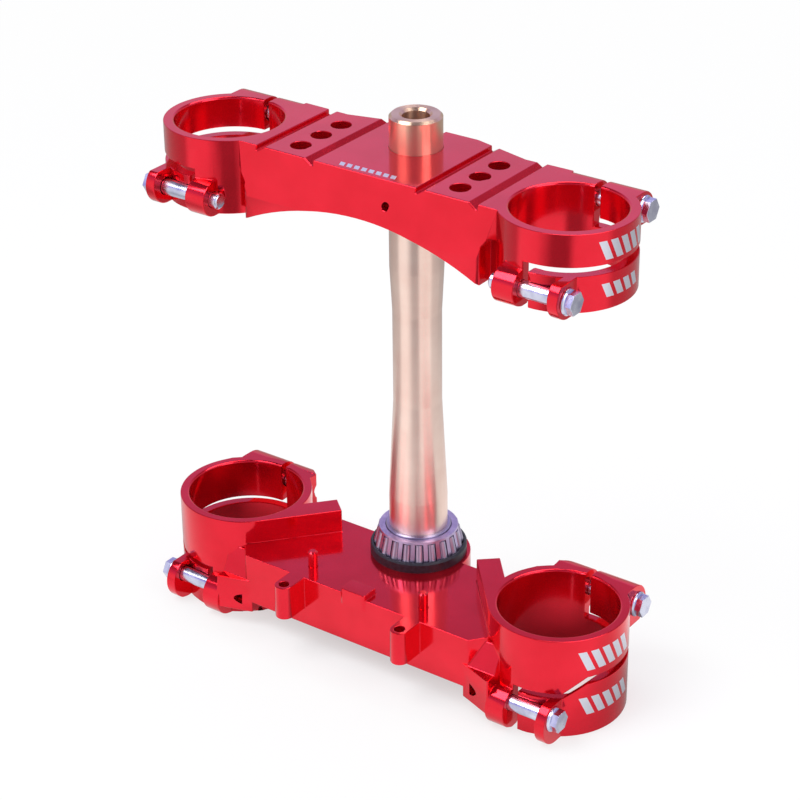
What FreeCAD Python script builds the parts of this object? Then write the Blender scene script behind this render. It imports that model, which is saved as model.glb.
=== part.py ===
"""Motorcycle triple clamp: two fork clamps on a hollow steering stem, with the lower bearing.

The origin is the centre of the stem's foot, +Z runs up the stem and +Y points to the rear of the
motorcycle.  The fork tubes stand parallel to the stem, one on each side, a little in front of it.
Every fork clamp is split level into an upper and a lower half ring.  The upper one opens at the
rear and the lower one at the front, so that the two clamping bolts pull from opposite sides.
"""
import FreeCAD
import Part
import Sketcher
import math
import os

SIZES = (
    # fork tubes
    ("fork_spacing", 196.0),
    ("fork_offset", 20.0),
    ("upper_bore", 54.0),
    ("lower_bore", 60.0),
    ("upper_wall", 5.5),
    ("lower_wall", 5.0),
    # lower clamp, heights measured from the foot of the stem
    ("ring_drop", 14.0),
    ("lower_height", 55.0),
    ("lower_slot", 3.7),
    ("lower_slot_floor", 29.2),
    ("lower_slot_dip", 7.0),
    ("lower_dip_slot", 2.6),
    ("lower_web", 28.0),
    ("lower_front", 57.0),
    ("lower_rear", 1.0),
    ("lower_flat", 69.5),
    ("stem_boss", 27.0),
    ("rib_width", 12.0),
    ("rib_reach", 44.5),
    ("rib_angle", 49.0),
    # upper clamp, heights measured down from its top face
    ("upper_top", 251.5),
    ("upper_height", 38.0),
    ("upper_slot", 4.3),
    ("upper_lip", 16.0),
    ("upper_web", 21.0),
    ("upper_arch", 150.0),
    ("upper_front", 42.0),
    ("upper_belly", 48.0),
    ("upper_belly_drop", 24.0),
    ("upper_rear", 16.0),
    ("upper_bulge", 23.5),
    ("upper_flat", 66.0),
    ("recess_depth", 4.0),
    ("recess_rise", 6.0),
    ("front_hole", 4.0),
    ("front_hole_across", 14.2),
    ("front_hole_drop", 12.0),
    ("front_hole_depth", 8.0),
    # ears and clamping bolts, places across the fork measured outward from the bore centre
    ("front_gap_inner", -3.5),
    ("front_gap_outer", 15.0),
    ("front_slit", 3.0),
    ("front_seat", 20.5),
    ("rear_gap_inner", -3.0),
    ("rear_gap_outer", 0.0),
    ("upper_rear_seat", 20.0),
    ("lower_rear_seat", 23.5),
    ("upper_front_ear", 15.0),
    ("upper_rear_ear", 20.0),
    ("lower_front_ear", 14.0),
    ("lower_rear_ear", 21.0),
    ("lower_thread_reach", 26.5),
    ("upper_bolt_wall", 1.5),
    ("lower_bolt_wall", 2.0),
    ("lower_front_bolt_drop", 7.0),
    ("block_corner", 14.0),
    ("ear_meat", 4.0),
    ("rim_chamfer", 0.8),
    ("bolt_thread", 8.0),
    ("bolt_flange", 13.0),
    ("bolt_flange_height", 1.6),
    ("bolt_hexagon", 10.0),
    ("bolt_head_height", 5.0),
    ("bolt_clearance", 0.5),
    ("thread_clearance", 0.1),
    ("front_bolt_length", 40.0),
    ("rear_bolt_length", 35.0),
    # handlebar seats
    ("bar_hole", 10.2),
    ("bar_hole_across", 46.0),
    ("bar_hole_pitch", 16.0),
    ("bar_hole_rear", 2.0),
    ("seat_groove_inner", 29.5),
    ("seat_groove_outer", 63.5),
    ("seat_groove_width", 5.0),
    ("seat_groove_depth", 2.5),
    # fender lugs, steering stop and guide pins of the lower clamp
    ("lug_across", 36.0),
    ("lug_radius", 4.8),
    ("lug_reach", 67.5),
    ("lug_height", 18.5),
    ("lug_hole", 5.2),
    ("stop_width", 15.0),
    ("stop_rise", 3.0),
    ("stop_back", 9.0),
    ("stop_drop", 9.0),
    ("pin_across", 34.5),
    ("pin_back", 45.0),
    ("pin_size", 5.0),
    ("pin_height", 9.0),
    ("pin_depth", 6.0),
    # steering stem
    ("stem_length", 268.0),
    ("stem_top", 26.0),
    ("stem_neck", 27.0),
    ("neck_gap", 0.9),
    ("stem_waist", 24.6),
    ("stem_seat", 30.0),
    ("stem_press", 31.0),
    ("stem_flange", 38.0),
    ("stem_flange_height", 3.0),
    ("stem_mouth", 13.5),
    ("stem_mouth_depth", 12.0),
    ("stem_hollow", 17.0),
    # lower steering bearing
    ("seal_size", 50.0),
    ("seal_height", 5.5),
    ("seal_floor", 1.5),
    ("race_height", 15.0),
    ("race_rib", 42.0),
    ("race_small", 33.6),
    ("roller_count", 20.0),
    ("roller_length", 9.5),
    ("roller_big", 4.6),
    ("roller_small", 3.9),
    ("roller_lean", 12.0),
    ("roller_ring", 42.4),
    ("cage_wall", 1.0),
    ("running_gap", 0.15),
    # pinch bolt that holds the upper clamp on the stem
    ("pinch_thread", 6.0),
    ("pinch_head", 10.0),
    ("pinch_head_height", 6.0),
    ("pinch_back", 17.7),
    ("pinch_slit", 2.0),
    ("pinch_seat", 13.0),
    ("pinch_length", 25.0),
)

doc = FreeCAD.newDocument("TripleClamp")
sheet = doc.addObject("Spreadsheet::Sheet", "Sizes")


class Length:
    """A size: its number, and the spreadsheet expression that it follows."""

    def __init__(self, value, text):
        self.value = float(value)
        self.text = text

    def __add__(self, other):
        other = length(other)
        return Length(self.value + other.value, f"({self.text} + {other.text})")

    def __sub__(self, other):
        other = length(other)
        return Length(self.value - other.value, f"({self.text} - {other.text})")

    def __mul__(self, factor):
        factor = length(factor)
        return Length(self.value * factor.value, f"({self.text} * {factor.text})")

    def __truediv__(self, factor):
        factor = length(factor)
        return Length(self.value / factor.value, f"({self.text} / {factor.text})")

    def __neg__(self):
        return Length(-self.value, f"(-1 * {self.text})")

    __radd__ = __add__
    __rmul__ = __mul__

    def __rsub__(self, other):
        return length(other) - self


def length(value):
    """Take a plain number as a size of its own."""
    return value if isinstance(value, Length) else Length(value, repr(float(value)))


class Sizes:
    """Every driving dimension by its alias in the sheet."""


def fill_sheet():
    size = Sizes()
    for row, (alias, value) in enumerate(SIZES, start=1):
        sheet.set(f"A{row}", alias)
        sheet.set(f"B{row}", str(value))
        sheet.setAlias(f"B{row}", alias)
        setattr(size, alias, Length(value, f"Sizes.{alias}"))
    doc.recompute()
    return size


s = fill_sheet()

fork_x = s.fork_spacing / 2
fork_y = -s.fork_offset
lower_ring = s.lower_bore / 2 + s.lower_wall
upper_ring = s.upper_bore / 2 + s.upper_wall
lower_bottom = -s.ring_drop
lower_rim = lower_bottom + s.lower_height
lower_slot_z = lower_bottom + s.lower_slot_floor
upper_bottom = s.upper_top - s.upper_height
upper_slot_z = s.upper_top - s.upper_lip - s.upper_slot
lower_front_bolt_z = lower_slot_z - s.lower_slot_dip - s.lower_front_bolt_drop
lower_rear_bolt_z = (lower_slot_z + s.lower_slot + lower_rim) / 2
lower_bolt_y = s.lower_bore / 2 + s.lower_bolt_wall + s.bolt_thread / 2
upper_bolt_y = s.upper_bore / 2 + s.upper_bolt_wall + s.bolt_thread / 2
FAR = length(200.0)


def bind(target, **values):
    """Set properties of an object and tie each one to its expression."""
    for name, value in values.items():
        value = length(value)
        setattr(target, name, value.value)
        target.setExpression(name, value.text)


def place(target, x=0.0, y=0.0, z=0.0, rotation=None):
    """Put an object at a place that follows the sheet."""
    x, y, z = length(x), length(y), length(z)
    turn = rotation or FreeCAD.Rotation()
    target.Placement = FreeCAD.Placement(FreeCAD.Vector(x.value, y.value, z.value), turn)
    for axis, value in (("x", x), ("y", y), ("z", z)):
        target.setExpression(f".Placement.Base.{axis}", value.text)


def new_body(label):
    body = doc.addObject("PartDesign::Body", f"Body_{label}")
    body.Label = label
    return body


def new_sketch(body, name, plane, offset=0.0):
    """A sketch on one of the body's origin planes, moved along that plane's normal."""
    sketch = body.newObject("Sketcher::SketchObject", name)
    support = [p for p in body.Origin.OriginFeatures if p.Role == plane][0]
    sketch.AttachmentSupport = [(support, "")]
    sketch.MapMode = "FlatFace"
    offset = length(offset)
    sketch.AttachmentOffset = FreeCAD.Placement(
        FreeCAD.Vector(0, 0, offset.value), FreeCAD.Rotation())
    sketch.setExpression(".AttachmentOffset.Base.z", offset.text)
    return sketch


def hold(sketch, held):
    """Add constraints together, each dimension tied to its expression.

    An entry is the constraint's arguments and the size that it follows, or None for a joint.
    """
    made = []
    for arguments, value in held:
        if value is not None:
            arguments = arguments + (value.value,)
        made.append(Sketcher.Constraint(*arguments))
    numbers = sketch.addConstraint(made)
    for number, (_, value) in zip(numbers, held):
        if value is not None:
            sketch.setExpression(f"Constraints[{number}]", value.text)


def at_place(curve, end, x, y):
    """Hold one sketch point at coordinates that follow the sheet."""
    return [(("DistanceX", -1, 1, curve, end), length(x)),
            (("DistanceY", -1, 1, curve, end), length(y))]


def polygon(sketch, corners):
    """A closed outline of straight edges through the corners."""
    corners = [(length(x), length(y)) for x, y in corners]
    count = len(corners)
    points = [FreeCAD.Vector(x.value, y.value, 0) for x, y in corners]
    first = sketch.GeometryCount
    lines = [Part.LineSegment(points[i], points[(i + 1) % count]) for i in range(count)]
    sketch.addGeometry(lines, False)
    held = []
    for i, (x, y) in enumerate(corners):
        follower = first + (i + 1) % count
        held.append((("Coincident", first + i, 2, follower, 1), None))
        held.extend(at_place(first + i, 1, x, y))
    hold(sketch, held)


def circle(sketch, x, y, radius):
    x, y, radius = length(x), length(y), length(radius)
    centre = FreeCAD.Vector(x.value, y.value, 0)
    index = sketch.addGeometry(Part.Circle(centre, FreeCAD.Vector(0, 0, 1), radius.value), False)
    hold(sketch, at_place(index, 3, x, y) + [(("Radius", index), radius)])


def half_circles(sketch, x, y, radius):
    """A circle of two arcs that meet in front and behind, where a clamp's gaps part it."""
    x, y, radius = length(x), length(y), length(radius)
    centre = FreeCAD.Vector(x.value, y.value, 0)
    whole = Part.Circle(centre, FreeCAD.Vector(0, 0, 1), radius.value)
    first = sketch.GeometryCount
    sketch.addGeometry([Part.ArcOfCircle(whole, -math.pi / 2, math.pi / 2),
                        Part.ArcOfCircle(whole, math.pi / 2, 1.5 * math.pi)], False)
    hold(sketch, at_place(first, 3, x, y) + [
        (("Radius", first), radius),
        (("DistanceX", -1, 1, first, 1), x),
        (("DistanceX", -1, 1, first, 2), x),
        (("Coincident", first, 2, first + 1, 1), None),
        (("Coincident", first, 1, first + 1, 2), None),
        (("DistanceX", -1, 1, first + 1, 3), x),
    ])


def ear_outline(sketch, root, root_low, root_high, axis, low, high):
    """The side of an ear: a tongue that grows from the ring and ends in a half round nose."""
    root, axis, low, high = length(root), length(axis), length(low), length(high)
    root_low, root_high = length(root_low), length(root_high)
    a = FreeCAD.Vector(root.value, root_low.value, 0)
    b = FreeCAD.Vector(axis.value, low.value, 0)
    c = FreeCAD.Vector(axis.value, high.value, 0)
    d = FreeCAD.Vector(root.value, root_high.value, 0)
    centre = (b + c) / 2
    radius = (high.value - low.value) / 2
    round_nose = Part.Circle(centre, FreeCAD.Vector(0, 0, 1), radius)
    forward = axis.value < root.value
    start, stop = (0.5 * math.pi, 1.5 * math.pi) if forward else (-0.5 * math.pi, 0.5 * math.pi)
    sketch.addGeometry([Part.LineSegment(a, b), Part.LineSegment(c, d), Part.LineSegment(d, a),
                        Part.ArcOfCircle(round_nose, start, stop)], False)
    low_end, high_end = (2, 1) if forward else (1, 2)
    held = [
        (("Coincident", 0, 2, 3, low_end), None),
        (("Coincident", 1, 1, 3, high_end), None),
        (("Coincident", 1, 2, 2, 1), None),
        (("Coincident", 2, 2, 0, 1), None),
        (("DistanceX", -1, 1, 3, 3), axis),
    ]
    held += at_place(0, 1, root, root_low) + at_place(0, 2, axis, low)
    held += at_place(1, 1, axis, high) + at_place(1, 2, root, root_high)
    hold(sketch, held)


def pad(body, sketch, amount, reverse=False, both=False):
    feature = body.newObject("PartDesign::Pad", f"Pad_{sketch.Name}")
    feature.Profile = sketch
    feature.Refine = False
    bind(feature, Length=amount)
    feature.Reversed = reverse
    feature.Midplane = both
    doc.recompute()
    return feature


def pocket(body, sketch, amount, reverse=False, both=False):
    """Cut a sketch out of the body, and make sure that it met the solid."""
    before = body.Shape.Volume
    feature = body.newObject("PartDesign::Pocket", f"Pocket_{sketch.Name}")
    feature.Profile = sketch
    feature.Refine = False
    bind(feature, Length=amount)
    feature.Reversed = reverse
    feature.Midplane = both
    doc.recompute()
    if not body.Shape.Volume < before:
        raise RuntimeError(f"{feature.Name} cuts nothing")
    return feature


def revolve(body, sketch):
    """Turn an XZ profile, drawn as radius and height, about the body's Z axis."""
    feature = body.newObject("PartDesign::Revolution", f"Turn_{sketch.Name}")
    feature.Profile = sketch
    feature.ReferenceAxis = (sketch, ["V_Axis"])
    feature.Angle = 360.0
    doc.recompute()
    return feature


SIDES = (("left", -1), ("right", 1))


def ears(body, name, gap_inner, gap_outer, inner, seat, tongue, slot_low=0.0, slot_high=0.0):
    """Pad the two ears beside a gap, on both forks, from their side outline.

    The outer ear reaches a little into the level slot, and the inner ear into the slit.  Both
    cuts then trim them.
    """
    root, root_low, root_high, axis, low, high = tongue
    for hand, side in SIDES:
        start = (fork_x - inner) * side
        block = new_sketch(body, f"{name}_block_{hand}", "YZ_Plane", start)
        ear_outline(block, *tongue)
        pad(body, block, inner + gap_inner + 0.5, reverse=side < 0)
        start = (fork_x + gap_outer) * side
        block = new_sketch(body, f"{name}_ear_{hand}", "YZ_Plane", start)
        ear_outline(block, root, root_low - slot_low, root_high + slot_high, axis,
                    low - slot_low, high + slot_high)
        pad(body, block, seat - gap_outer, reverse=side < 0)


def bolt_hole(body, name, side, y, z, start, depth, diameter):
    """Bore along X, from a plane beside the fork toward the middle of the clamp."""
    plane = (fork_x + start) * side
    sketch = new_sketch(body, f"{name}_{'left' if side < 0 else 'right'}", "YZ_Plane", plane)
    circle(sketch, y, z, diameter / 2)
    pocket(body, sketch, depth, reverse=side < 0)


def split_clamp(body, slot_z, slot, bottom, top, dip=None, dip_slot=None):
    """Part the outer side of each ring into two half rings, open at opposite ends.

    The level slot may dip over the front ear, where it is narrower.
    """
    for name, side in SIDES:
        far_x = (fork_x + FAR) * side
        gap_x = (fork_x + s.front_gap_inner) * side
        slit_x = (fork_x + s.front_gap_inner + s.front_slit) * side
        front = new_sketch(body, f"front_split_{name}", "XZ_Plane", -fork_y)
        if dip is None:
            polygon(front, ((gap_x, bottom - 1), (slit_x, bottom - 1), (slit_x, slot_z),
                            (far_x, slot_z), (far_x, slot_z + slot), (gap_x, slot_z + slot)))
        else:
            low = slot_z - dip
            ear_x = (fork_x + s.front_seat) * side
            rise_x = (fork_x + s.front_seat + dip + 1.5) * side
            polygon(front, ((gap_x, bottom - 1), (slit_x, bottom - 1), (slit_x, low), (ear_x, low),
                            (rise_x, slot_z), (far_x, slot_z), (far_x, slot_z + slot),
                            (rise_x, slot_z + slot), (ear_x, low + dip_slot),
                            (gap_x, low + dip_slot)))
        pocket(body, front, FAR, reverse=True)

        gap_x = (fork_x + s.rear_gap_inner) * side
        ear_x = (fork_x + s.rear_gap_outer) * side
        rear = new_sketch(body, f"rear_split_{name}", "XZ_Plane", -fork_y)
        polygon(rear, ((gap_x, slot_z), (far_x, slot_z), (far_x, slot_z + slot),
                       (ear_x, slot_z + slot), (ear_x, top + 1), (gap_x, top + 1)))
        pocket(body, rear, FAR)


def countersink(body, name, height, radius, reverse):
    """Break the edge of both fork bores with a small cone."""
    sketch = fork_circles(body, name, height, radius + s.rim_chamfer)
    feature = pocket(body, sketch, s.rim_chamfer, reverse=reverse)
    feature.TaperAngle = -45.0
    doc.recompute()


def fork_circles(body, name, height, radius, draw=circle):
    sketch = new_sketch(body, name, "XY_Plane", height)
    for _, side in SIDES:
        draw(sketch, fork_x * side, fork_y, radius)
    return sketch


def make_lower_clamp():
    body = new_body("lower_clamp")

    bridge = new_sketch(body, "lower_bridge", "XY_Plane")
    shoulder = s.lower_flat + 6.5
    deep = fork_x - s.lower_bore / 4
    rear_x = fork_x - lower_ring * 0.8
    right = (
        (s.lower_flat, -s.lower_front),
        (shoulder, -s.lower_front + 8),
        (deep, fork_y),
        (rear_x, s.lower_rear),
    )
    left = tuple((-x, y) for x, y in reversed(right))
    polygon(bridge, right + left)
    pad(body, bridge, s.lower_web)

    boss = new_sketch(body, "stem_boss", "XY_Plane")
    circle(boss, 0, 0, s.stem_boss)
    pad(body, boss, s.lower_web)

    rings = fork_circles(body, "lower_rings", lower_bottom, lower_ring)
    pad(body, rings, s.lower_height)

    lean = math.radians(s.rib_angle.value)
    along = (math.cos(lean), -math.sin(lean))
    across = (math.sin(lean), math.cos(lean))
    for name, side in SIDES:
        rib = new_sketch(body, f"rib_{name}", "XY_Plane", s.lower_web - 1)
        reach = s.rib_reach
        tangent_x = fork_x - lower_ring * across[0]
        tangent_y = fork_y - lower_ring * across[1]
        end_x = tangent_x - reach * along[0]
        end_y = tangent_y - reach * along[1]
        polygon(rib, (
            (tangent_x * side, tangent_y),
            (end_x * side, end_y),
            ((end_x + s.rib_width * across[0]) * side, end_y + s.rib_width * across[1]),
            ((tangent_x + s.rib_width * across[0]) * side, tangent_y + s.rib_width * across[1]),
        ))
        pad(body, rib, lower_rim - s.lower_web + 1)

    front_y = fork_y - lower_bolt_y
    rear_y = fork_y + lower_bolt_y
    front_z = lower_front_bolt_z
    rear_z = lower_rear_bolt_z
    nose = s.bolt_thread / 2 + s.ear_meat
    low = lower_bottom
    high = lower_slot_z - s.lower_slot_dip
    axis = front_y - nose + (high - low) / 2
    ears(body, "lower_front", s.front_gap_inner, s.front_gap_outer, s.lower_front_ear,
         s.front_seat, (fork_y - s.lower_bore / 3, low, high, axis, low, high),
         slot_high=s.lower_dip_slot / 2)
    low = lower_slot_z + s.lower_slot
    high = lower_rim
    axis = rear_y + nose - (high - low) / 2
    ears(body, "lower_rear", s.rear_gap_inner, s.rear_gap_outer, s.lower_rear_ear,
         s.lower_rear_seat, (fork_y + s.lower_bore / 3, low, high, axis, low, high),
         slot_low=s.lower_slot / 2)

    for name, side in SIDES:
        flare = new_sketch(body, f"front_flare_{name}", "XY_Plane", front_z - nose + 1)
        block_x = fork_x - s.lower_front_ear
        polygon(flare, (
            ((block_x + 1) * side, front_y - nose + 1.5),
            (block_x * side, front_y - nose + 1.5),
            ((s.lower_flat - 3) * side, -s.lower_front),
            ((s.lower_flat - 3) * side, fork_y),
            ((block_x + 1) * side, fork_y),
        ))
        flare_top = lower_slot_z - 2
        pad(body, flare, flare_top - front_z + nose - 1)
        slope = new_sketch(body, f"front_blend_{name}", "YZ_Plane", (s.lower_flat - 3) * side)
        polygon(slope, (
            (-s.lower_front, flare_top - 1),
            (-s.lower_front, flare_top),
            (-s.lower_front + 7, s.lower_web - 2),
            (fork_y, s.lower_web - 2),
            (fork_y, flare_top - 1),
        ))
        pad(body, slope, block_x - s.lower_flat + 4, reverse=side < 0)

    for name, side in SIDES:
        corner = new_sketch(body, f"block_corner_{name}", "XY_Plane", lower_rim + 1)
        block_x = fork_x - s.lower_rear_ear
        polygon(corner, (
            ((block_x - 1) * side, s.block_corner - 1),
            ((block_x + 14) * side, rear_y + nose + 1),
            ((block_x - 1) * side, rear_y + nose + 1),
        ))
        pocket(body, corner, lower_rim + 1 - lower_slot_z)

    lugs = new_sketch(body, "fender_lugs", "XY_Plane", s.lower_web)
    for _, side in SIDES:
        inner = (s.lug_across - s.lug_radius) * side
        outer = (s.lug_across + s.lug_radius) * side
        polygon(lugs, ((inner, -s.lower_front + 2), (outer, -s.lower_front + 2),
                       (outer, -s.lug_reach), (inner, -s.lug_reach)))
    pad(body, lugs, s.lug_height, reverse=True)
    noses = new_sketch(body, "lug_noses", "XY_Plane", s.lower_web)
    for _, side in SIDES:
        circle(noses, s.lug_across * side, -s.lug_reach, s.lug_radius)
    pad(body, noses, s.lug_height, reverse=True)

    stop = new_sketch(body, "steering_stop", "XY_Plane", s.lower_web + s.stop_rise)
    polygon(stop, (
        (-s.stop_width / 2 + 1, -s.lower_front - 1),
        (s.stop_width / 2 - 1, -s.lower_front - 1),
        (s.stop_width / 2, -s.lower_front),
        (s.stop_width / 2, -s.lower_front + s.stop_back),
        (-s.stop_width / 2, -s.lower_front + s.stop_back),
        (-s.stop_width / 2, -s.lower_front),
    ))
    pad(body, stop, s.stop_drop, reverse=True)

    bores = fork_circles(body, "lower_bores", lower_rim + 1, s.lower_bore / 2, half_circles)
    pocket(body, bores, s.lower_height + 2)
    countersink(body, "lower_rims", lower_rim, s.lower_bore / 2, False)
    countersink(body, "lower_mouths", lower_bottom, s.lower_bore / 2, True)
    split_clamp(body, lower_slot_z, s.lower_slot, lower_bottom, lower_rim, s.lower_slot_dip,
                s.lower_dip_slot)

    for name, side in SIDES:
        bolt_hole(body, "lower_front_clear", side, front_y, front_z, s.front_seat + 1,
                  s.front_seat - s.front_gap_inner, s.bolt_thread + s.bolt_clearance)
        bolt_hole(body, "lower_front_thread", side, front_y, front_z, s.front_gap_inner + 1,
                  s.front_gap_inner + 1 + s.lower_thread_reach, s.bolt_thread + s.thread_clearance)
        bolt_hole(body, "lower_rear_clear", side, rear_y, rear_z, s.lower_rear_seat + 1,
                  s.lower_rear_seat - s.rear_gap_inner, s.bolt_thread + s.bolt_clearance)
        bolt_hole(body, "lower_rear_thread", side, rear_y, rear_z, s.rear_gap_inner + 1,
                  s.rear_gap_inner + 2 + s.lower_rear_ear, s.bolt_thread + s.thread_clearance)

    stem = new_sketch(body, "lower_stem_bore", "XY_Plane", s.lower_web + 1)
    circle(stem, 0, 0, s.stem_press / 2)
    pocket(body, stem, s.lower_web + 2)
    flange = new_sketch(body, "stem_flange_seat", "XY_Plane", -1)
    circle(flange, 0, 0, s.stem_flange / 2)
    pocket(body, flange, s.stem_flange_height + 1, reverse=True)
    holes = new_sketch(body, "lug_holes", "XY_Plane", s.lower_web + 1)
    for _, side in SIDES:
        circle(holes, s.lug_across * side, -s.lug_reach, s.lug_hole / 2)
    pocket(body, holes, s.lug_height + 2)
    pins = new_sketch(body, "pin_holes", "XY_Plane", s.lower_web + 1)
    for _, side in SIDES:
        circle(pins, s.pin_across * side, -s.pin_back, s.pin_size / 2)
    pocket(body, pins, s.pin_depth + 1)
    return body


def make_upper_clamp():
    body = new_body("upper_clamp")

    bridge = new_sketch(body, "upper_bridge", "XY_Plane", upper_bottom)
    notch_x = fork_x - upper_ring * 0.7
    right = (
        (s.upper_flat, -s.upper_belly),
        (s.upper_flat + 4, -s.upper_belly + 2),
        (notch_x, -s.upper_front + 1),
        (fork_x - s.upper_bore / 4, fork_y),
        (fork_x - s.upper_rear_ear, s.upper_rear),
        (52, s.upper_rear - 0.5),
        (20, s.upper_bulge),
    )
    left = tuple((-length(x), y) for x, y in reversed(right))
    polygon(bridge, right + left)
    pad(body, bridge, s.upper_height)

    slope = new_sketch(body, "front_slope", "YZ_Plane")
    polygon(slope, (
        (-s.upper_front, s.upper_top),
        (-s.upper_belly, s.upper_top - s.upper_belly_drop),
        (-s.upper_belly - 10, s.upper_top - s.upper_belly_drop),
        (-s.upper_belly - 10, s.upper_top + 1),
        (-s.upper_front, s.upper_top + 1),
    ))
    pocket(body, slope, fork_x * 2, both=True)

    hole = new_sketch(body, "front_hole", "XZ_Plane", s.upper_belly + 5)
    circle(hole, s.front_hole_across, s.upper_top - s.front_hole_drop, s.front_hole / 2)
    pocket(body, hole, s.upper_belly - s.upper_front + 5 + s.front_hole_depth)

    arch = new_sketch(body, "arch", "XZ_Plane")
    circle(arch, 0, s.upper_top - s.upper_web - s.upper_arch, s.upper_arch)
    pocket(body, arch, FAR, both=True)

    for name, side in SIDES:
        recess = new_sketch(body, f"recess_{name}", "XZ_Plane", s.upper_front - s.recess_depth)
        inner = s.upper_flat + 2
        outer = fork_x - s.upper_front_ear
        roof = upper_slot_z + s.recess_rise
        polygon(recess, (
            (inner * side, upper_bottom - 1),
            (inner * side, roof - 4),
            ((inner + 3) * side, roof),
            ((outer - 2) * side, roof),
            (outer * side, roof - 2),
            (outer * side, upper_bottom - 1),
        ))
        pocket(body, recess, 40, reverse=True)

    rings = fork_circles(body, "upper_rings", upper_bottom, upper_ring)
    pad(body, rings, s.upper_height)

    front_y = fork_y - upper_bolt_y
    rear_y = fork_y + upper_bolt_y
    front_z = (upper_bottom + upper_slot_z) / 2
    rear_z = s.upper_top - s.upper_lip / 2
    nose = s.bolt_thread / 2 + s.ear_meat
    low = upper_bottom
    high = upper_slot_z
    axis = front_y - nose + (high - low) / 2
    ears(body, "upper_front", s.front_gap_inner, s.front_gap_outer, s.upper_front_ear,
         s.front_seat, (fork_y - s.upper_bore / 3, low, high, axis, low, high),
         slot_high=s.upper_slot / 2)
    low = s.upper_top - s.upper_lip
    high = s.upper_top
    axis = rear_y + nose - (high - low) / 2
    ears(body, "upper_rear", s.rear_gap_inner, s.rear_gap_outer, s.upper_rear_ear,
         s.upper_rear_seat, (fork_y + s.upper_bore / 3, low, high, axis, low, high),
         slot_low=s.upper_slot / 2)

    bores = fork_circles(body, "upper_bores", s.upper_top + 1, s.upper_bore / 2, half_circles)
    pocket(body, bores, s.upper_height + 2)
    countersink(body, "upper_rims", s.upper_top, s.upper_bore / 2, False)
    countersink(body, "upper_mouths", upper_bottom, s.upper_bore / 2, True)
    split_clamp(body, upper_slot_z, s.upper_slot, upper_bottom, s.upper_top)

    for name, side in SIDES:
        bolt_hole(body, "upper_front_clear", side, front_y, front_z, s.front_seat + 1,
                  s.front_seat - s.front_gap_inner, s.bolt_thread + s.bolt_clearance)
        bolt_hole(body, "upper_front_thread", side, front_y, front_z, s.front_gap_inner + 1,
                  s.front_gap_inner + 2 + s.upper_front_ear, s.bolt_thread + s.thread_clearance)
        bolt_hole(body, "upper_rear_clear", side, rear_y, rear_z, s.upper_rear_seat + 1,
                  s.upper_rear_seat - s.rear_gap_inner, s.bolt_thread + s.bolt_clearance)
        bolt_hole(body, "upper_rear_thread", side, rear_y, rear_z, s.rear_gap_inner + 1,
                  s.rear_gap_inner + 2 + s.upper_rear_ear, s.bolt_thread + s.thread_clearance)

    stem = new_sketch(body, "upper_stem_bore", "XY_Plane", s.upper_top + 1)
    circle(stem, 0, 0, s.stem_top / 2)
    pocket(body, stem, s.upper_height + 2)

    slit = new_sketch(body, "pinch_slit", "XY_Plane", s.upper_top + 1)
    polygon(slit, ((-s.pinch_slit / 2, 0), (s.pinch_slit / 2, 0),
                   (s.pinch_slit / 2, s.upper_bulge + 5), (-s.pinch_slit / 2, s.upper_bulge + 5)))
    pocket(body, slit, s.upper_height + 2)

    pinch_z = s.upper_top - s.upper_web / 2
    bore = new_sketch(body, "pinch_bore", "YZ_Plane", s.pinch_seat + 1)
    circle(bore, s.pinch_back, pinch_z, (s.pinch_thread + s.thread_clearance) / 2)
    pocket(body, bore, s.pinch_length + 4)
    seat = new_sketch(body, "pinch_seat", "YZ_Plane", s.pinch_seat)
    circle(seat, s.pinch_back, pinch_z, (s.pinch_head + 1) / 2)
    pocket(body, seat, 40, reverse=True)

    grooves = new_sketch(body, "seat_grooves", "XZ_Plane")
    for _, side in SIDES:
        for wall, out in ((s.seat_groove_inner, 1), (s.seat_groove_outer, -1)):
            slant = wall + s.seat_groove_width * out
            polygon(grooves, (
                (wall * side, s.upper_top + 1),
                (wall * side, s.upper_top - s.seat_groove_depth),
                ((wall + 1 * out) * side, s.upper_top - s.seat_groove_depth),
                (slant * side, s.upper_top),
                (slant * side, s.upper_top + 1),
            ))
    pocket(body, grooves, FAR, both=True)

    bars = new_sketch(body, "bar_holes", "XY_Plane", s.upper_top + 1)
    for _, side in SIDES:
        for step in range(3):
            circle(bars, s.bar_hole_across * side, s.bar_hole_rear - s.bar_hole_pitch * step,
                   s.bar_hole / 2)
    pocket(body, bars, s.upper_height + 2)
    return body


def make_stem():
    body = new_body("steering_stem")
    profile = new_sketch(body, "stem_profile", "XZ_Plane")
    edge = 1.2
    polygon(profile, (
        (s.stem_hollow / 2, 0),
        (s.stem_flange / 2, 0),
        (s.stem_flange / 2, s.stem_flange_height),
        (s.stem_press / 2, s.stem_flange_height),
        (s.stem_press / 2, s.lower_web),
        (s.stem_seat / 2, s.lower_web),
        (s.stem_seat / 2, s.lower_web + 34),
        (s.stem_waist / 2, s.lower_web + 88),
        (s.stem_waist / 2, upper_bottom - 48),
        (s.stem_neck / 2, upper_bottom - 24),
        (s.stem_neck / 2, s.upper_top - s.upper_web - s.neck_gap),
        (s.stem_top / 2, s.upper_top - s.upper_web - s.neck_gap),
        (s.stem_top / 2, s.stem_length - edge),
        (s.stem_top / 2 - edge, s.stem_length),
        (s.stem_mouth / 2 + edge, s.stem_length),
        (s.stem_mouth / 2, s.stem_length - edge),
        (s.stem_mouth / 2, s.stem_length - s.stem_mouth_depth),
        (s.stem_hollow / 2, s.stem_length - s.stem_mouth_depth - 2),
    ))
    revolve(body, profile)
    return body


def turned(label, corners):
    """A turned ring: its section, drawn as radius and height, spun about the stem's axis."""
    body = new_body(label)
    profile = new_sketch(body, f"section_{label}", "XZ_Plane")
    polygon(profile, corners)
    revolve(body, profile)
    return body


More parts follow.
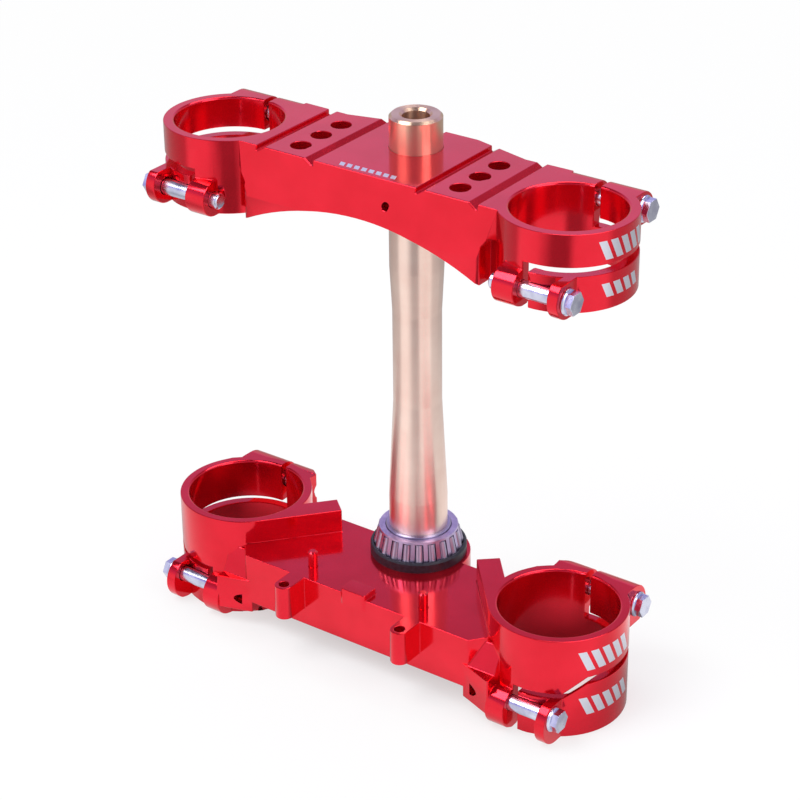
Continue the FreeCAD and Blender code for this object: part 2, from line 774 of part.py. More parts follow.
def make_seal():
    floor = s.lower_web
    return turned("bearing_dust_seal", (
        (s.stem_seat / 2, floor),
        (s.seal_size / 2, floor),
        (s.seal_size / 2, floor + s.seal_height - 1),
        (s.seal_size / 2 - 0.6, floor + s.seal_height),
        (s.seal_size / 2 - 1.6, floor + s.seal_height),
        (s.seal_size / 2 - 1.6, floor + s.seal_floor),
        (s.stem_seat / 2, floor + s.seal_floor),
    ))


race_bottom = s.lower_web + s.seal_floor
lean = math.radians(s.roller_lean.value)
taper = math.atan((s.roller_big.value - s.roller_small.value) / 2 / s.roller_length.value)
lean_inner = lean - taper


def make_race():
    top = race_bottom + s.race_height
    low = s.roller_ring / 2 - s.roller_big / 2 / math.cos(lean) - s.running_gap
    high = low - (s.roller_length + 1) * math.tan(lean_inner)
    return turned("bearing_inner_race", (
        (s.stem_seat / 2, race_bottom),
        (s.race_rib / 2, race_bottom),
        (s.race_rib / 2, race_bottom + 2.2),
        (low, race_bottom + 2.2),
        (high, race_bottom + 3.2 + s.roller_length),
        (s.race_small / 2, race_bottom + 3.7 + s.roller_length),
        (s.race_small / 2, top - 0.5),
        (s.race_small / 2 - 0.5, top),
        (s.stem_seat / 2, top),
    ))


roller_foot = race_bottom + 2.2 + s.running_gap
roller_axis_foot = roller_foot + s.roller_big / 2 * math.sin(lean)
roller_tip = (roller_axis_foot + s.roller_length * math.cos(lean)
              + s.roller_small / 2 * math.sin(lean))


def make_rollers():
    """Tapered rollers, leaning in toward the stem at their small ends."""
    rollers = []
    count = int(s.roller_count.value)
    for i in range(count):
        roller = doc.addObject("Part::Cone", f"roller_{i + 1}")
        roller.Label = f"bearing_roller_{i + 1:02d}"
        bind(roller, Radius1=s.roller_big / 2, Radius2=s.roller_small / 2, Height=s.roller_length)
        turn = 360.0 * i / count
        angle = math.radians(turn)
        spin = FreeCAD.Rotation(FreeCAD.Vector(0, 0, 1), turn)
        tilt = FreeCAD.Rotation(FreeCAD.Vector(0, 1, 0), -s.roller_lean.value)
        radius = s.roller_ring / 2
        place(roller, radius * math.cos(angle), radius * math.sin(angle), roller_axis_foot,
              spin * tilt)
        rollers.append(roller)
    return rollers


def make_cage():
    """A pressed cone with one window for each roller."""
    wall = s.cage_wall
    low = roller_foot - wall - 0.2
    high = roller_tip + wall + 0.2
    low_out = s.roller_ring / 2 + wall + 0.8
    high_out = low_out - (high - low) * math.tan(lean)
    inner = s.race_small / 2 + 2 * s.running_gap
    body = turned("bearing_cage", (
        (low_out - wall, low),
        (low_out, low),
        (high_out, high),
        (inner, high),
        (inner, high - wall),
        (high_out - wall, high - wall),
    ))
    window = new_sketch(body, "cage_window", "YZ_Plane", s.race_small / 2)
    half = s.roller_big / 2 + s.running_gap
    neck = s.roller_small / 2 + s.running_gap
    polygon(window, (
        (-half, roller_foot - 0.1),
        (half, roller_foot - 0.1),
        (neck, roller_tip + 0.1),
        (-neck, roller_tip + 0.1),
    ))
    cut = pocket(body, window, 20, reverse=True)
    pattern = body.newObject("PartDesign::PolarPattern", "cage_windows")
    pattern.Originals = [cut]
    axis = [a for a in body.Origin.OriginFeatures if a.Role == "Z_Axis"][0]
    pattern.Axis = (axis, [""])
    pattern.Angle = 360.0
    pattern.Occurrences = int(s.roller_count.value)
    body.Tip = pattern
    doc.recompute()
    return body


def hexagon(flats):
    """Corners of a hexagon of the given width across its flats."""
    radius = flats / math.sqrt(3)
    return tuple((radius * math.cos(math.radians(60 * k + 30)),
                  radius * math.sin(math.radians(60 * k + 30))) for k in range(6))


def make_flange_bolt(label, shank):
    """A hexagon bolt with a round flange along Z, its flange's seat at the origin."""
    body = new_body(label)
    thread = s.bolt_thread
    profile = new_sketch(body, f"section_{label}", "XZ_Plane")
    chamfer = 0.8
    polygon(profile, (
        (0, s.bolt_flange_height),
        (0, -shank),
        (thread / 2 - chamfer, -shank),
        (thread / 2, -shank + chamfer),
        (thread / 2, 0),
        (s.bolt_flange / 2, 0),
        (s.bolt_flange / 2, s.bolt_flange_height / 2),
        (s.bolt_flange / 2 - chamfer, s.bolt_flange_height),
    ))
    revolve(body, profile)
    key = new_sketch(body, f"hexagon_{label}", "XY_Plane", s.bolt_flange_height)
    polygon(key, hexagon(s.bolt_hexagon))
    pad(body, key, s.bolt_head_height - s.bolt_flange_height)
    return body


def make_cap_screw(label, thread, head, head_height, shank, socket):
    """A socket-head cap screw along Z, its head's seat at the origin."""
    body = new_body(label)
    profile = new_sketch(body, f"section_{label}", "XZ_Plane")
    chamfer = 0.8
    polygon(profile, (
        (0, head_height),
        (0, -shank),
        (thread / 2 - chamfer, -shank),
        (thread / 2, -shank + chamfer),
        (thread / 2, 0),
        (head / 2, 0),
        (head / 2, head_height - chamfer),
        (head / 2 - chamfer, head_height),
    ))
    revolve(body, profile)
    key = new_sketch(body, f"socket_{label}", "XY_Plane", head_height)
    polygon(key, hexagon(socket))
    pocket(body, key, head_height / 2)
    return body


def outward(side):
    """Turn a screw's head, drawn facing up, to the left or right side."""
    return FreeCAD.Rotation(FreeCAD.Vector(0, 1, 0), 90.0 * side)


def make_clamp_bolts():
    bolts = []
    places = (
        ("upper_front", fork_y - upper_bolt_y, (upper_bottom + upper_slot_z) / 2,
         s.front_seat, s.front_bolt_length),
        ("upper_rear", fork_y + upper_bolt_y, s.upper_top - s.upper_lip / 2,
         s.upper_rear_seat, s.rear_bolt_length),
        ("lower_front", fork_y - lower_bolt_y, lower_front_bolt_z,
         s.front_seat, s.front_bolt_length),
        ("lower_rear", fork_y + lower_bolt_y, lower_rear_bolt_z,
         s.lower_rear_seat, s.rear_bolt_length),
    )
    for name, y, z, seat, shank in places:
        for hand, side in SIDES:
            bolt = make_flange_bolt(f"{name}_bolt_{hand}", shank)
            place(bolt, (fork_x + seat) * side, y, z, outward(side))
            bolts.append(bolt)
    return bolts


def make_pinch_bolt():
    bolt = make_cap_screw("stem_pinch_bolt", s.pinch_thread, s.pinch_head, s.pinch_head_height,
                          s.pinch_length, s.pinch_thread - 1)
    place(bolt, s.pinch_seat, s.pinch_back, s.upper_top - s.upper_web / 2, outward(1))
    return bolt


def make_pins():
    pins = []
    for hand, side in SIDES:
        body = new_body(f"guide_pin_{hand}")
        profile = new_sketch(body, f"section_guide_pin_{hand}", "XZ_Plane")
        crown = 0.8
        polygon(profile, (
            (0, -s.pin_depth),
            (s.pin_size / 2, -s.pin_depth),
            (s.pin_size / 2, s.pin_height - crown),
            (s.pin_size / 2 - crown, s.pin_height),
            (0, s.pin_height),
        ))
        revolve(body, profile)
        place(body, s.pin_across * side, -s.pin_back, s.lower_web)
        pins.append(body)
    return pins


def write_parts(nodes):
    doc.recompute()
    broken = [o.Name for o in doc.Objects if "Invalid" in o.State or "Error" in o.State]
    if broken:
        raise RuntimeError(f"objects that failed: {broken}")
    os.makedirs("parts", exist_ok=True)
    for node in nodes:
        shape = node.Shape
        if shape.isNull() or not shape.isValid():
            raise RuntimeError(f"{node.Label} has no valid shape")
        shape.exportStep(os.path.join("parts", f"{node.Label}.step"))
        box = shape.BoundBox
        print(f"{node.Label}: {len(shape.Solids)} solid(s), {shape.Volume:.0f} mm3, "
              f"z {box.ZMin:.2f} to {box.ZMax:.2f}")


nodes = [make_lower_clamp(), make_upper_clamp(), make_stem(), make_seal(), make_race(),
         make_cage()]
nodes += make_rollers()
nodes += make_clamp_bolts()
nodes.append(make_pinch_bolt())
nodes += make_pins()
write_parts(nodes)
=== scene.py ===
"""Looks of the motorcycle triple clamp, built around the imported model.

The clamps and bolts are shown as copies with their edges broken, so that they catch the light as
machined edges do. All other pieces are shown as packed.
"""
import math

import bmesh
import bpy
from mathutils import Matrix, Vector
from mathutils.bvhtree import BVHTree
from mathutils.kdtree import KDTree


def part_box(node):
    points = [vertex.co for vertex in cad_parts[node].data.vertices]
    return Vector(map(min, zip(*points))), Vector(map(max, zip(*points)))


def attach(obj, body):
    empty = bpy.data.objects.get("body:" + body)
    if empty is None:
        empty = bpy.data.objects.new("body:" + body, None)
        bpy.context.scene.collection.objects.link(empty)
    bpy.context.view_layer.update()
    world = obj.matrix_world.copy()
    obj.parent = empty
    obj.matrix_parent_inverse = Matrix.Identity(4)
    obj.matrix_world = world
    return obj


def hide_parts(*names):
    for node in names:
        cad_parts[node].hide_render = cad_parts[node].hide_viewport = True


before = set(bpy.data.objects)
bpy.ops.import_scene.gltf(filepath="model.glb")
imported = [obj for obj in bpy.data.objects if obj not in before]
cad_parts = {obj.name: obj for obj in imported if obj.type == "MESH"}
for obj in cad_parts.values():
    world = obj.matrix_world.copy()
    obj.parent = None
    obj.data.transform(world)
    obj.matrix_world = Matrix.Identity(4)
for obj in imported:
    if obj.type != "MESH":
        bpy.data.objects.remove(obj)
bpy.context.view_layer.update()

MM = 0.001
CLAMPS = "clamps"
WHITE = (1.0, 1.0, 1.0, 1.0)

# the camera of the photograph, in metres, degrees and, for its lens, millimetres
CAMERA_PLACE = Vector((0.6134, -0.8632, 0.6752))
CAMERA_AZIMUTH = 35.88
CAMERA_ELEVATION = 27.88
CAMERA_ROLL = -0.60
CAMERA_LENS = 107.4
CAMERA_SENSOR = 36.0

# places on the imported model, in metres: the right fork's axis, the floor just under the lower clamp
# and the top of the upper clamp
FORK_X = 0.098
FORK_Y = -0.020
FLOOR_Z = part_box("lower_clamp")[0].z - 0.1 * MM
TOP_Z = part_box("upper_clamp")[1].z

# how far the sharp edges are broken
CLAMP_BREAK = 0.5 * MM
BOLT_BREAK = 0.25 * MM

# angles in degrees: below the first two faces are one flat, above the second an edge is broken,
# and above the third an edge isn't shaded smooth
FLAT_ANGLE = 0.4
SHARP_ANGLE = 28.0
CREASE_ANGLE = 40.0

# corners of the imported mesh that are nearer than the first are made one, and a face's side shorter
# than the second is dropped
WELD = 0.03 * MM
SHORTEST_SIDE = 0.001 * MM

# limits on a broken edge, in widths of the break: the shortest edge that is broken, the spacing of
# the spots kept along it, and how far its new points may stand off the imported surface
SHORTEST_EDGE = 0.3
SPOT_SPACING = 0.5
STAND_OFF = 0.6

# the count of spots round a fault whose edges stay sharp
NEAREST_SPOTS = 3

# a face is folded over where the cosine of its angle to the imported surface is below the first, and
# one smaller than the second, in square metres, doesn't count
FOLDED = -0.1
SLIVER = 1e-12

# the etched marks lie outside this radius from a fork's axis. Each row has a mark's height on the
# ring, its middle along the ring's wall counted from the side, its count of bars and half its height
ETCHED_RADIUS = 0.031
RING_MARKS = ((0.2425, -0.0030, 5, 0.0046), (0.2230, -0.0045, 4, 0.0034),
              (0.0285, -0.0070, 5, 0.0055), (0.0025, -0.0065, 5, 0.0050))
RING_PITCH = 5.8 * MM

# the etched mark on the top face of the upper clamp
TOP_MARK_X = -0.001
TOP_MARK_Y = -0.0375
TOP_MARK_BARS = 8
TOP_PITCH = 4.2 * MM
TOP_HALF_HEIGHT = 1.8 * MM

# the lean of the bars, the share of their pitch that each one fills, and how much rougher they are
BAR_LEAN = 0.4
BAR_SHARE = 0.66
BAR_ROUGHNESS = 0.2

# brightness of the studio by compass direction in degrees, counted from +X toward +Y
CARDS = ((-180, 0.46), (-140, 0.50), (-130, 1.0), (-98, 1.0), (-84, 0.62), (-74, 0.30), (-52, 0.30),
         (-42, 1.0), (2, 1.0), (14, 0.55), (60, 0.42), (180, 0.46))

# colour of the room by height, from level to straight up, and the heights between which it takes
# over from the cards
ROOM = ((0.20, (0.80, 0.80, 0.95, 1.0)), (0.46, (0.55, 0.50, 1.00, 1.0)),
        (0.60, (0.34, 0.30, 0.46, 1.0)), (0.80, (0.10, 0.09, 0.13, 1.0)))
ROOM_TAKES_OVER = (0.12, 0.40)

# the room's light on all that isn't a reflection
SOFT_LIGHT = (0.52, 0.52, 0.55, 1.0)

# half the floor's width and the half sizes of the model's footprint on it, in metres, and the stretch
# in which the shade painted on the floor under the model fades, in footprints
FLOOR_HALF = 6.0
FOOTPRINT = (0.150, 0.055)
PAINTED_SHADE_FADES = (0.7, 1.5)

# distances from the stem over which the floor turns plain white for the camera, and over which the
# cards come up in its reflection
FLOOR_WHITENS = (0.3, 1.5)
CARDS_COME_UP = (0.16, 0.42)

# the share of plain white that the camera sees in the floor, in the painted shade under the model and
# beside it, and the brightness of that painted shade in a reflection
PAINTED_SHADE_WHITE = 0.52
FLOOR_WHITE = 0.86
PAINTED_SHADE_REFLECTED = 0.16

# the point that every lamp faces
LAMP_TARGET = Vector((0.0, 0.0, 0.1))


def link(obj):
    bpy.context.scene.collection.objects.link(obj)
    return obj


def linear(red, green, blue):
    """A colour as a screen shows it, 0 to 255, as the numbers a shader takes."""
    channels = []
    for value in (red, green, blue):
        value /= 255
        low = value / 12.92
        high = ((value + 0.055) / 1.055) ** 2.4
        channels.append(low if value <= 0.04045 else high)
    return (*channels, 1.0)


class Tree:
    """The nodes of a material or of the world, built step by step."""

    def __init__(self, owner):
        owner.use_nodes = True
        self.nodes = owner.node_tree.nodes
        self.links = owner.node_tree.links

    def node(self, kind, **settings):
        made = self.nodes.new(kind)
        for name, value in settings.items():
            setattr(made, name, value)
        return made

    def join(self, source, target):
        self.links.new(source, target)

    def place(self):
        """Points of the object's own space, in metres."""
        return self.node("ShaderNodeTexCoord").outputs["Object"]

    def scaled(self, source, x, y, z):
        mapping = self.node("ShaderNodeMapping")
        mapping.inputs["Scale"].default_value = (x, y, z)
        self.join(source, mapping.inputs["Vector"])
        return mapping.outputs["Vector"]

    def axes(self, vector):
        parts = self.node("ShaderNodeSeparateXYZ")
        self.join(vector, parts.inputs["Vector"])
        return parts.outputs["X"], parts.outputs["Y"], parts.outputs["Z"]

    def length(self, vector):
        measure = self.node("ShaderNodeVectorMath", operation="LENGTH")
        self.join(vector, measure.inputs[0])
        return measure.outputs["Value"]

    def math(self, operation, *values):
        """One step of arithmetic on fields and numbers."""
        step = self.node("ShaderNodeMath", operation=operation)
        for socket, value in zip(step.inputs, values):
            if isinstance(value, (int, float)):
                socket.default_value = value
            else:
                self.join(value, socket)
        return step.outputs["Value"]

    def noise(self, source, scale, detail, roughness=0.5):
        noise = self.node("ShaderNodeTexNoise")
        noise.inputs["Scale"].default_value = scale
        noise.inputs["Detail"].default_value = detail
        noise.inputs["Roughness"].default_value = roughness
        self.join(source, noise.inputs["Vector"])
        return noise.outputs["Fac"]

    def spread(self, source, low, high, start=0.3, stop=0.7):
        """Map a field's stretch from start to stop to the values from low to high."""
        span = self.node("ShaderNodeMapRange")
        span.inputs["From Min"].default_value = start
        span.inputs["From Max"].default_value = stop
        span.inputs["To Min"].default_value = low
        span.inputs["To Max"].default_value = high
        self.join(source, span.inputs["Value"])
        return span.outputs["Result"]

    def mix(self, factor, first, second):
        """From the first colour to the second, either of them a field or four numbers."""
        blend = self.node("ShaderNodeMix", data_type="RGBA")
        self.join(factor, blend.inputs["Factor"])
        for socket, colour in (("A", first), ("B", second)):
            if isinstance(colour, tuple):
                blend.inputs[socket].default_value = colour
            else:
                self.join(colour, blend.inputs[socket])
        return blend.outputs["Result"]

    def ramp(self, source, *stops):
        ramp = self.node("ShaderNodeValToRGB")
        elements = ramp.color_ramp.elements
        for element, (position, colour) in zip((elements[0], elements[1]), (stops[0], stops[-1])):
            element.position = position
            element.color = colour
        for position, colour in stops[1:-1]:
            elements.new(position).color = colour
        self.join(source, ramp.inputs["Fac"])
        return ramp.outputs["Color"]

    def cover(self, factor, under, over):
        """From one shader to another that covers it."""
        layers = self.node("ShaderNodeMixShader")
        self.join(factor, layers.inputs["Fac"])
        self.join(under, layers.inputs[1])
        self.join(over, layers.inputs[2])
        return layers.outputs["Shader"]

    def seen_by_camera(self):
        """1 for what the camera sees straight, else 0."""
        return self.node("ShaderNodeLightPath").outputs["Is Camera Ray"]

    def seen_by_pieces(self):
        """1 for what metal reflects and glass lets through, else 0."""
        path = self.node("ShaderNodeLightPath")
        return self.math("MAXIMUM", path.outputs["Is Glossy Ray"],
                         path.outputs["Is Transmission Ray"])


class Shader(Tree):
    """A node material on the principled surface."""

    def __init__(self, name):
        self.material = bpy.data.materials.new(name)
        super().__init__(self.material)
        self.surface = self.nodes["Principled BSDF"]

    def set(self, **values):
        """Give the surface's sockets their values."""
        for name, value in values.items():
            self.surface.inputs[name.replace("_", " ")].default_value = value

    def feed(self, **fields):
        """Join fields to the surface's sockets."""
        for name, field in fields.items():
            self.join(field, self.surface.inputs[name.replace("_", " ")])

    def bump(self, source, depth, strength):
        bump = self.node("ShaderNodeBump")
        bump.inputs["Distance"].default_value = depth
        bump.inputs["Strength"].default_value = strength
        self.join(source, bump.inputs["Height"])
        return bump.outputs["Normal"]


def within(tree, value, centre, half):
    """1 where a field is less than half away from the centre, else 0."""
    distance = tree.math("ABSOLUTE", tree.math("SUBTRACT", value, centre))
    return tree.math("LESS_THAN", distance, half)


def bars(tree, along, across, middle, count, pitch, half_height):
    """A row of slanted bars about a middle, 1 on a bar and 0 elsewhere."""
    slanted = tree.math("MULTIPLY_ADD", across, BAR_LEAN, along)
    start = middle - (count - 1 + BAR_SHARE) * pitch / 2
    step = tree.math("DIVIDE", tree.math("SUBTRACT", slanted, start), pitch)
    bar = tree.math("LESS_THAN", tree.math("FRACT", step), BAR_SHARE)
    row = within(tree, step, count / 2, count / 2)
    height = within(tree, across, 0.0, half_height)
    return tree.math("MULTIPLY", tree.math("MULTIPLY", bar, row), height)


def etched(tree, place):
    """Where the colour is etched away: plain slanted bars on the rings and the top face."""
    x, y, z = tree.axes(place)
    beside = tree.math("SUBTRACT", tree.math("ABSOLUTE", x), FORK_X)
    behind = tree.math("SUBTRACT", y, FORK_Y)
    squares = tree.math("MULTIPLY_ADD", beside, beside, tree.math("MULTIPLY", behind, behind))
    outside = tree.math("GREATER_THAN", tree.math("SQRT", squares), ETCHED_RADIUS)
    along = tree.math("MULTIPLY", tree.math("ARCTAN2", behind, beside), ETCHED_RADIUS)
    line = bars(tree, x, tree.math("SUBTRACT", y, TOP_MARK_Y), TOP_MARK_X, TOP_MARK_BARS, TOP_PITCH,
                TOP_HALF_HEIGHT)
    total = tree.math("MULTIPLY", line, within(tree, z, TOP_Z, MM))
    for height, middle, count, half_height in RING_MARKS:
        rise = tree.math("SUBTRACT", z, height)
        mark = bars(tree, along, rise, middle, count, RING_PITCH, half_height)
        total = tree.math("ADD", total, tree.math("MULTIPLY", mark, outside))
    return total


BARE = linear(222, 222, 234)


def anodised(name, colour, deep, gloss=0.12):
    """Polished aluminium under a coloured oxide layer, with bare etched marks."""
    shader = Shader(name)
    place = shader.place()
    shade = shader.noise(place, scale=38.0, detail=4.0)
    marks = etched(shader, place)
    tint = shader.mix(marks, shader.ramp(shade, (0.30, deep), (0.66, colour)), BARE)
    smear = shader.noise(shader.scaled(place, 1.0, 1.0, 3.0), scale=70.0, detail=5.0, roughness=0.62)
    polish = shader.spread(smear, gloss - 0.03, gloss + 0.07)
    rough = shader.math("MULTIPLY_ADD", marks, BAR_ROUGHNESS, polish)
    grain = shader.noise(place, scale=900.0, detail=2.0)
    shader.feed(Base_Color=tint, Roughness=rough, Normal=shader.bump(grain, 0.02 * MM, 0.5))
    shader.set(Metallic=0.86, Coat_Weight=0.35, Coat_Roughness=0.08, Coat_IOR=1.5)
    return shader.material


def plated(name, colour, deep, gloss=0.22):
    """Zinc plating: pale, a little cloudy."""
    shader = Shader(name)
    place = shader.place()
    cloud = shader.noise(place, scale=160.0, detail=4.0)
    tint = shader.ramp(cloud, (0.32, deep), (0.62, colour))
    rough = shader.spread(cloud, gloss - 0.06, gloss + 0.10)
    grain = shader.noise(place, scale=1400.0, detail=2.0)
    shader.feed(Base_Color=tint, Roughness=rough, Normal=shader.bump(grain, 0.03 * MM, 0.6))
    shader.set(Metallic=1.0)
    return shader.material


def turned_metal(name, colour, deep, gloss, lines, collar=None):
    """Turned metal with fine rings left by the tool, in a collar's colour above the upper clamp."""
    shader = Shader(name)
    place = shader.place()
    cloud = shader.noise(place, scale=60.0, detail=3.0)
    tint = shader.ramp(cloud, (0.30, deep), (0.66, colour))
    if collar is not None:
        high = shader.math("GREATER_THAN", shader.axes(place)[2], TOP_Z - MM)
        tint = shader.mix(high, tint, collar)
    stretched = shader.scaled(place, 0.02, 0.02, 1.0)
    rings = shader.noise(stretched, scale=lines, detail=4.0, roughness=0.7)
    rough = shader.spread(rings, gloss - 0.02, gloss + 0.03)
    shader.feed(Base_Color=tint, Roughness=rough, Normal=shader.bump(rings, 0.005 * MM, 0.2))
    tangent = shader.node("ShaderNodeTangent", direction_type="RADIAL", axis="Z")
    shader.feed(Tangent=tangent.outputs["Tangent"])
    shader.set(Metallic=1.0, Anisotropic=0.85, Anisotropic_Rotation=0.25)
    return shader.material


def rubber(name, colour, deep):
    """Black rubber with a fine grain."""
    shader = Shader(name)
    grain = shader.noise(shader.place(), scale=700.0, detail=4.0)
    tint = shader.ramp(grain, (0.3, deep), (0.7, colour))
    rough = shader.spread(grain, 0.38, 0.58)
    shader.feed(Base_Color=tint, Roughness=rough, Normal=shader.bump(grain, 0.04 * MM, 0.5))
    shader.set(Specular_IOR_Level=0.45)
    return shader.material


RED = anodised("red_anodised", linear(240, 24, 50), linear(226, 14, 40))
PIN_RED = anodised("pin_red", linear(240, 30, 52), linear(220, 16, 40), gloss=0.2)
BRONZE = turned_metal("bronze_anodised", linear(255, 228, 214), linear(248, 216, 202), gloss=0.30,
                      lines=900.0, collar=linear(236, 198, 170))
STEEL = plated("bolt_steel", linear(224, 226, 244), linear(190, 190, 216))
BEARING = turned_metal("bearing_steel", linear(196, 186, 206), linear(170, 160, 184), gloss=0.34,
                       lines=1200.0)
CAGE_STEEL = plated("cage_steel", linear(208, 192, 226), linear(180, 164, 200), gloss=0.36)
RUBBER = rubber("seal_rubber", linear(44, 44, 56), linear(24, 24, 32))


def is_sharp(edge, degrees):
    return edge.is_manifold and edge.calc_face_angle(0.0) > math.radians(degrees)


def merge_flats(bm):
    """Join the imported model's triangles back into the faces that they came from."""
    bmesh.ops.remove_doubles(bm, verts=bm.verts, dist=WELD)
    bmesh.ops.dissolve_limit(bm, angle_limit=math.radians(FLAT_ANGLE), verts=bm.verts,
                             edges=bm.edges, use_dissolve_boundaries=False)
    bmesh.ops.dissolve_degenerate(bm, dist=SHORTEST_SIDE, edges=bm.edges)


def spots_along(edges, step):
    """Points along the edges in a search tree, and the edge that each belongs to."""
    spots = []
    for edge in edges:
        start, end = (corner.co for corner in edge.verts)
        count = max(1, int((end - start).length / step))
        spots += [(start.lerp(end, k / count), edge.index) for k in range(count + 1)]
    tree = KDTree(len(spots))
    for k, (place, _) in enumerate(spots):
        tree.insert(place, k)
    tree.balance()
    return tree, [index for _, index in spots]


def faults(bm, surface, width):
    """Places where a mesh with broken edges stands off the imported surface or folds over."""
    places = [v.co for v in bm.verts if surface.find_nearest(v.co)[3] > STAND_OFF * width]
    for face in bm.faces:
        centre = face.calc_center_median()
        agreement = surface.find_nearest(centre)[1].dot(face.normal)
        if face.calc_area() > SLIVER and agreement < FOLDED:
            places.append(centre)
    return places


def break_edges(flat, surface, width):
    """Bevel the sharp edges, but for the few where the bevel would fold over or stick out."""
    flat.edges.ensure_lookup_table()
    chosen = {edge.index for edge in flat.edges
              if is_sharp(edge, SHARP_ANGLE) and edge.calc_length() > SHORTEST_EDGE * width}
    while True:
        bm = flat.copy()
        bm.edges.ensure_lookup_table()
        edges = [bm.edges[index] for index in chosen]
        tree, owners = spots_along(edges, SPOT_SPACING * width)
        bmesh.ops.bevel(bm, geom=edges, offset=width, segments=2, profile=0.5,
                        affect="EDGES", clamp_overlap=False, loop_slide=True)
        bm.normal_update()
        spoilt = {owners[found[1]] for place in faults(bm, surface, width)
                  for found in tree.find_n(place, NEAREST_SPOTS)}
        if not spoilt:
            return bm
        chosen -= spoilt
        bm.free()


def paint(mesh, material):
    mesh.materials.clear()
    mesh.materials.append(material)


def dress(node, material, width):
    """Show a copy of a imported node, its flat faces merged and its edges broken."""
    name = f"{node}_dressed"
    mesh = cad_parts[node].data.copy()
    mesh.name = name
    flat = bmesh.new()
    flat.from_mesh(mesh)
    surface = BVHTree.FromBMesh(flat)
    merge_flats(flat)
    bm = break_edges(flat, surface, width)
    for face in bm.faces:
        face.smooth = True
    for edge in bm.edges:
        edge.smooth = not is_sharp(edge, CREASE_ANGLE)
    bm.to_mesh(mesh)
    bm.free()
    flat.free()
    paint(mesh, material)
    piece = link(bpy.data.objects.new(name, mesh))
    even = piece.modifiers.new("even_normals", "WEIGHTED_NORMAL")
    even.keep_sharp = True
    even.weight = 90
    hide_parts(node)
    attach(piece, CLAMPS)


def carry(node, material):
    """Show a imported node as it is, in its real material."""
    paint(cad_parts[node].data, material)


for clamp in ("lower_clamp", "upper_clamp"):
    dress(clamp, RED, CLAMP_BREAK)
carry("steering_stem", BRONZE)
carry("bearing_dust_seal", RUBBER)
carry("bearing_inner_race", BEARING)
carry("bearing_cage", CAGE_STEEL)
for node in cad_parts:
    if node.startswith("bearing_roller"):
        carry(node, BEARING)
    elif "bolt" in node:
        dress(node, STEEL, BOLT_BREAK)
    elif node.startswith("guide_pin"):
        carry(node, PIN_RED)


def card_pattern(tree, direction):
    """Brightness of the studio round the model, by compass direction.

    The cards stand left and right of the camera, with a darker gap in which it stands, and
    the rest of the room is dimmer.
    """
    x, y, _ = tree.axes(direction)
    around = tree.spread(tree.math("ARCTAN2", y, x), 0.0, 1.0, -math.pi, math.pi)
    stops = [((degrees + 180) / 360, (level, level, level, 1.0)) for degrees, level in CARDS]
    return tree.ramp(around, *stops)


def pale_floor_material():
    """A pale floor with shade painted under the model, and the cards in its reflection."""
    shader = Shader("pale_floor")
    shader.set(Base_Color=(0.86, 0.86, 0.88, 1.0), Roughness=0.9)
    place = shader.place()
    half_width, half_depth = FOOTPRINT
    # painted shade: it lies in the model's footprint and fades out beyond it
    reach = shader.length(shader.scaled(place, 1 / half_width, 1 / half_depth, 0.0))
    beyond_painted_shade = shader.spread(reach, 0.0, 1.0, *PAINTED_SHADE_FADES)
    distance = shader.length(shader.scaled(place, 1.0, 1.0, 0.0))

    # painted shade: under the model the camera sees less plain white, so more of the floor's real
    # shadow shows there
    near = shader.spread(beyond_painted_shade, PAINTED_SHADE_WHITE, FLOOR_WHITE, 0.0, 1.0)
    more = shader.spread(distance, 0.0, 1.0 - FLOOR_WHITE, *FLOOR_WHITENS)
    white_share = shader.math("MULTIPLY", shader.seen_by_camera(), shader.math("ADD", near, more))
    white = shader.node("ShaderNodeEmission").outputs["Emission"]
    shown = shader.cover(white_share, shader.surface.outputs["BSDF"], white)

    far = shader.spread(distance, 0.0, 1.0, *CARDS_COME_UP)
    reflected = shader.node("ShaderNodeEmission")
    shader.join(shader.mix(far, WHITE, card_pattern(shader, place)), reflected.inputs["Color"])
    # painted shade: in reflections the floor under the model is dimmed
    shader.join(shader.spread(beyond_painted_shade, PAINTED_SHADE_REFLECTED, 1.0, 0.0, 1.0),
                reflected.inputs["Strength"])
    both = shader.cover(shader.seen_by_pieces(), shown, reflected.outputs["Emission"])
    shader.join(both, shader.nodes["Material Output"].inputs["Surface"])
    return shader.material


def white_floor():
    """The floor that the model stands on."""
    mesh = bpy.data.meshes.new("floor")
    corners = [(-FLOOR_HALF, -FLOOR_HALF, FLOOR_Z), (FLOOR_HALF, -FLOOR_HALF, FLOOR_Z),
               (FLOOR_HALF, FLOOR_HALF, FLOOR_Z), (-FLOOR_HALF, FLOOR_HALF, FLOOR_Z)]
    mesh.from_pydata(corners, [], [(0, 1, 2, 3)])
    mesh.materials.append(pale_floor_material())
    floor = link(bpy.data.objects.new("floor", mesh))


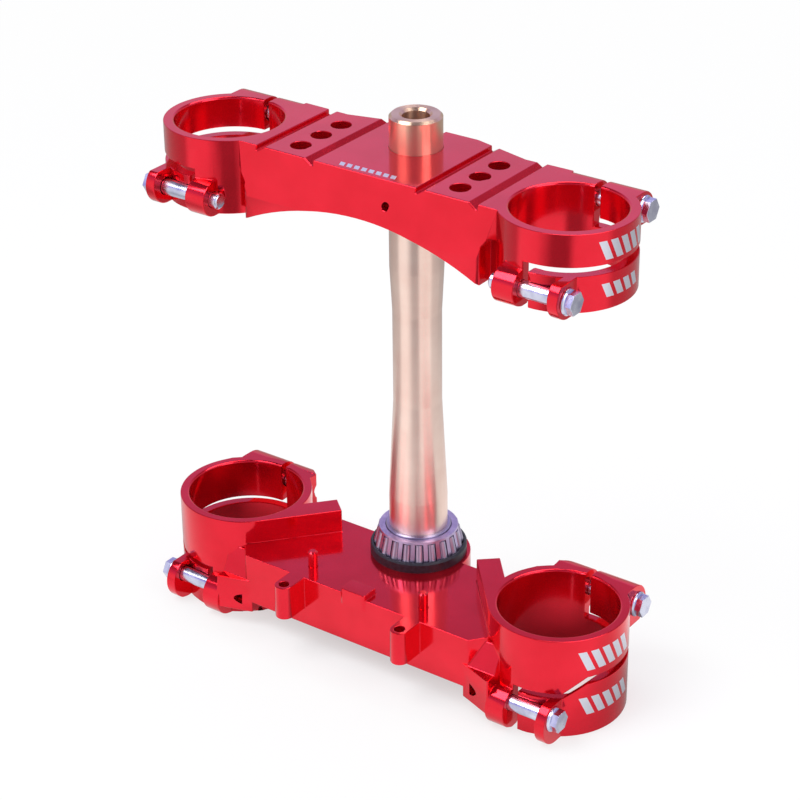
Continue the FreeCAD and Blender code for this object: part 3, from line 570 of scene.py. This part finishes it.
def light_world():
    """The room: plain white for the camera, and a studio that dims upward for the metal."""
    world = bpy.data.worlds.new("studio")
    bpy.context.scene.world = world
    room = Tree(world)
    direction = room.node("ShaderNodeTexCoord").outputs["Generated"]
    height = room.axes(direction)[2]
    above = room.spread(height, 0.0, 1.0, *ROOM_TAKES_OVER)
    studio = room.mix(above, card_pattern(room, direction), room.ramp(height, *ROOM))
    light = room.nodes["Background"]
    room.join(room.mix(room.seen_by_pieces(), SOFT_LIGHT, studio), light.inputs["Color"])
    plain = room.node("ShaderNodeBackground")
    plain.inputs["Color"].default_value = WHITE
    both = room.cover(room.seen_by_camera(), light.outputs["Background"],
                      plain.outputs["Background"])
    room.join(both, room.nodes["World Output"].inputs["Surface"])


def soft_lamp(name, place, width, height, power):
    """A soft studio lamp that faces the model."""
    light = bpy.data.lights.new(name, "AREA")
    light.shape = "RECTANGLE"
    light.size = width
    light.size_y = height
    light.energy = power
    lamp = link(bpy.data.objects.new(name, light))
    lamp.location = place
    lamp.rotation_euler = (LAMP_TARGET - Vector(place)).to_track_quat("-Z", "Y").to_euler()


def aim_camera():
    """The photograph's camera, from its place and its three angles."""
    azimuth = math.radians(CAMERA_AZIMUTH)
    elevation = math.radians(CAMERA_ELEVATION)
    roll = math.radians(CAMERA_ROLL)
    back = Vector((math.sin(azimuth) * math.cos(elevation),
                   -math.cos(azimuth) * math.cos(elevation), math.sin(elevation)))
    level = Vector((math.cos(azimuth), math.sin(azimuth), 0.0))
    upright = back.cross(level)
    right = level * math.cos(roll) + upright * math.sin(roll)
    up = upright * math.cos(roll) - level * math.sin(roll)
    lens = bpy.data.cameras.new("camera")
    lens.lens = CAMERA_LENS
    lens.sensor_width = CAMERA_SENSOR
    camera = link(bpy.data.objects.new("camera", lens))
    turn = Matrix((right, up, back)).transposed().to_4x4()
    camera.matrix_world = Matrix.Translation(CAMERA_PLACE) @ turn
    bpy.context.scene.camera = camera


white_floor()
light_world()
soft_lamp("key", (-0.5, -0.7, 1.4), width=0.9, height=0.9, power=14.0)
soft_lamp("fill", (1.2, -0.2, 1.0), width=0.8, height=0.8, power=6.0)
soft_lamp("back", (0.0, 0.7, 1.7), width=1.2, height=0.8, power=10.0)
aim_camera()
bpy.context.scene.view_settings.view_transform = "Standard"
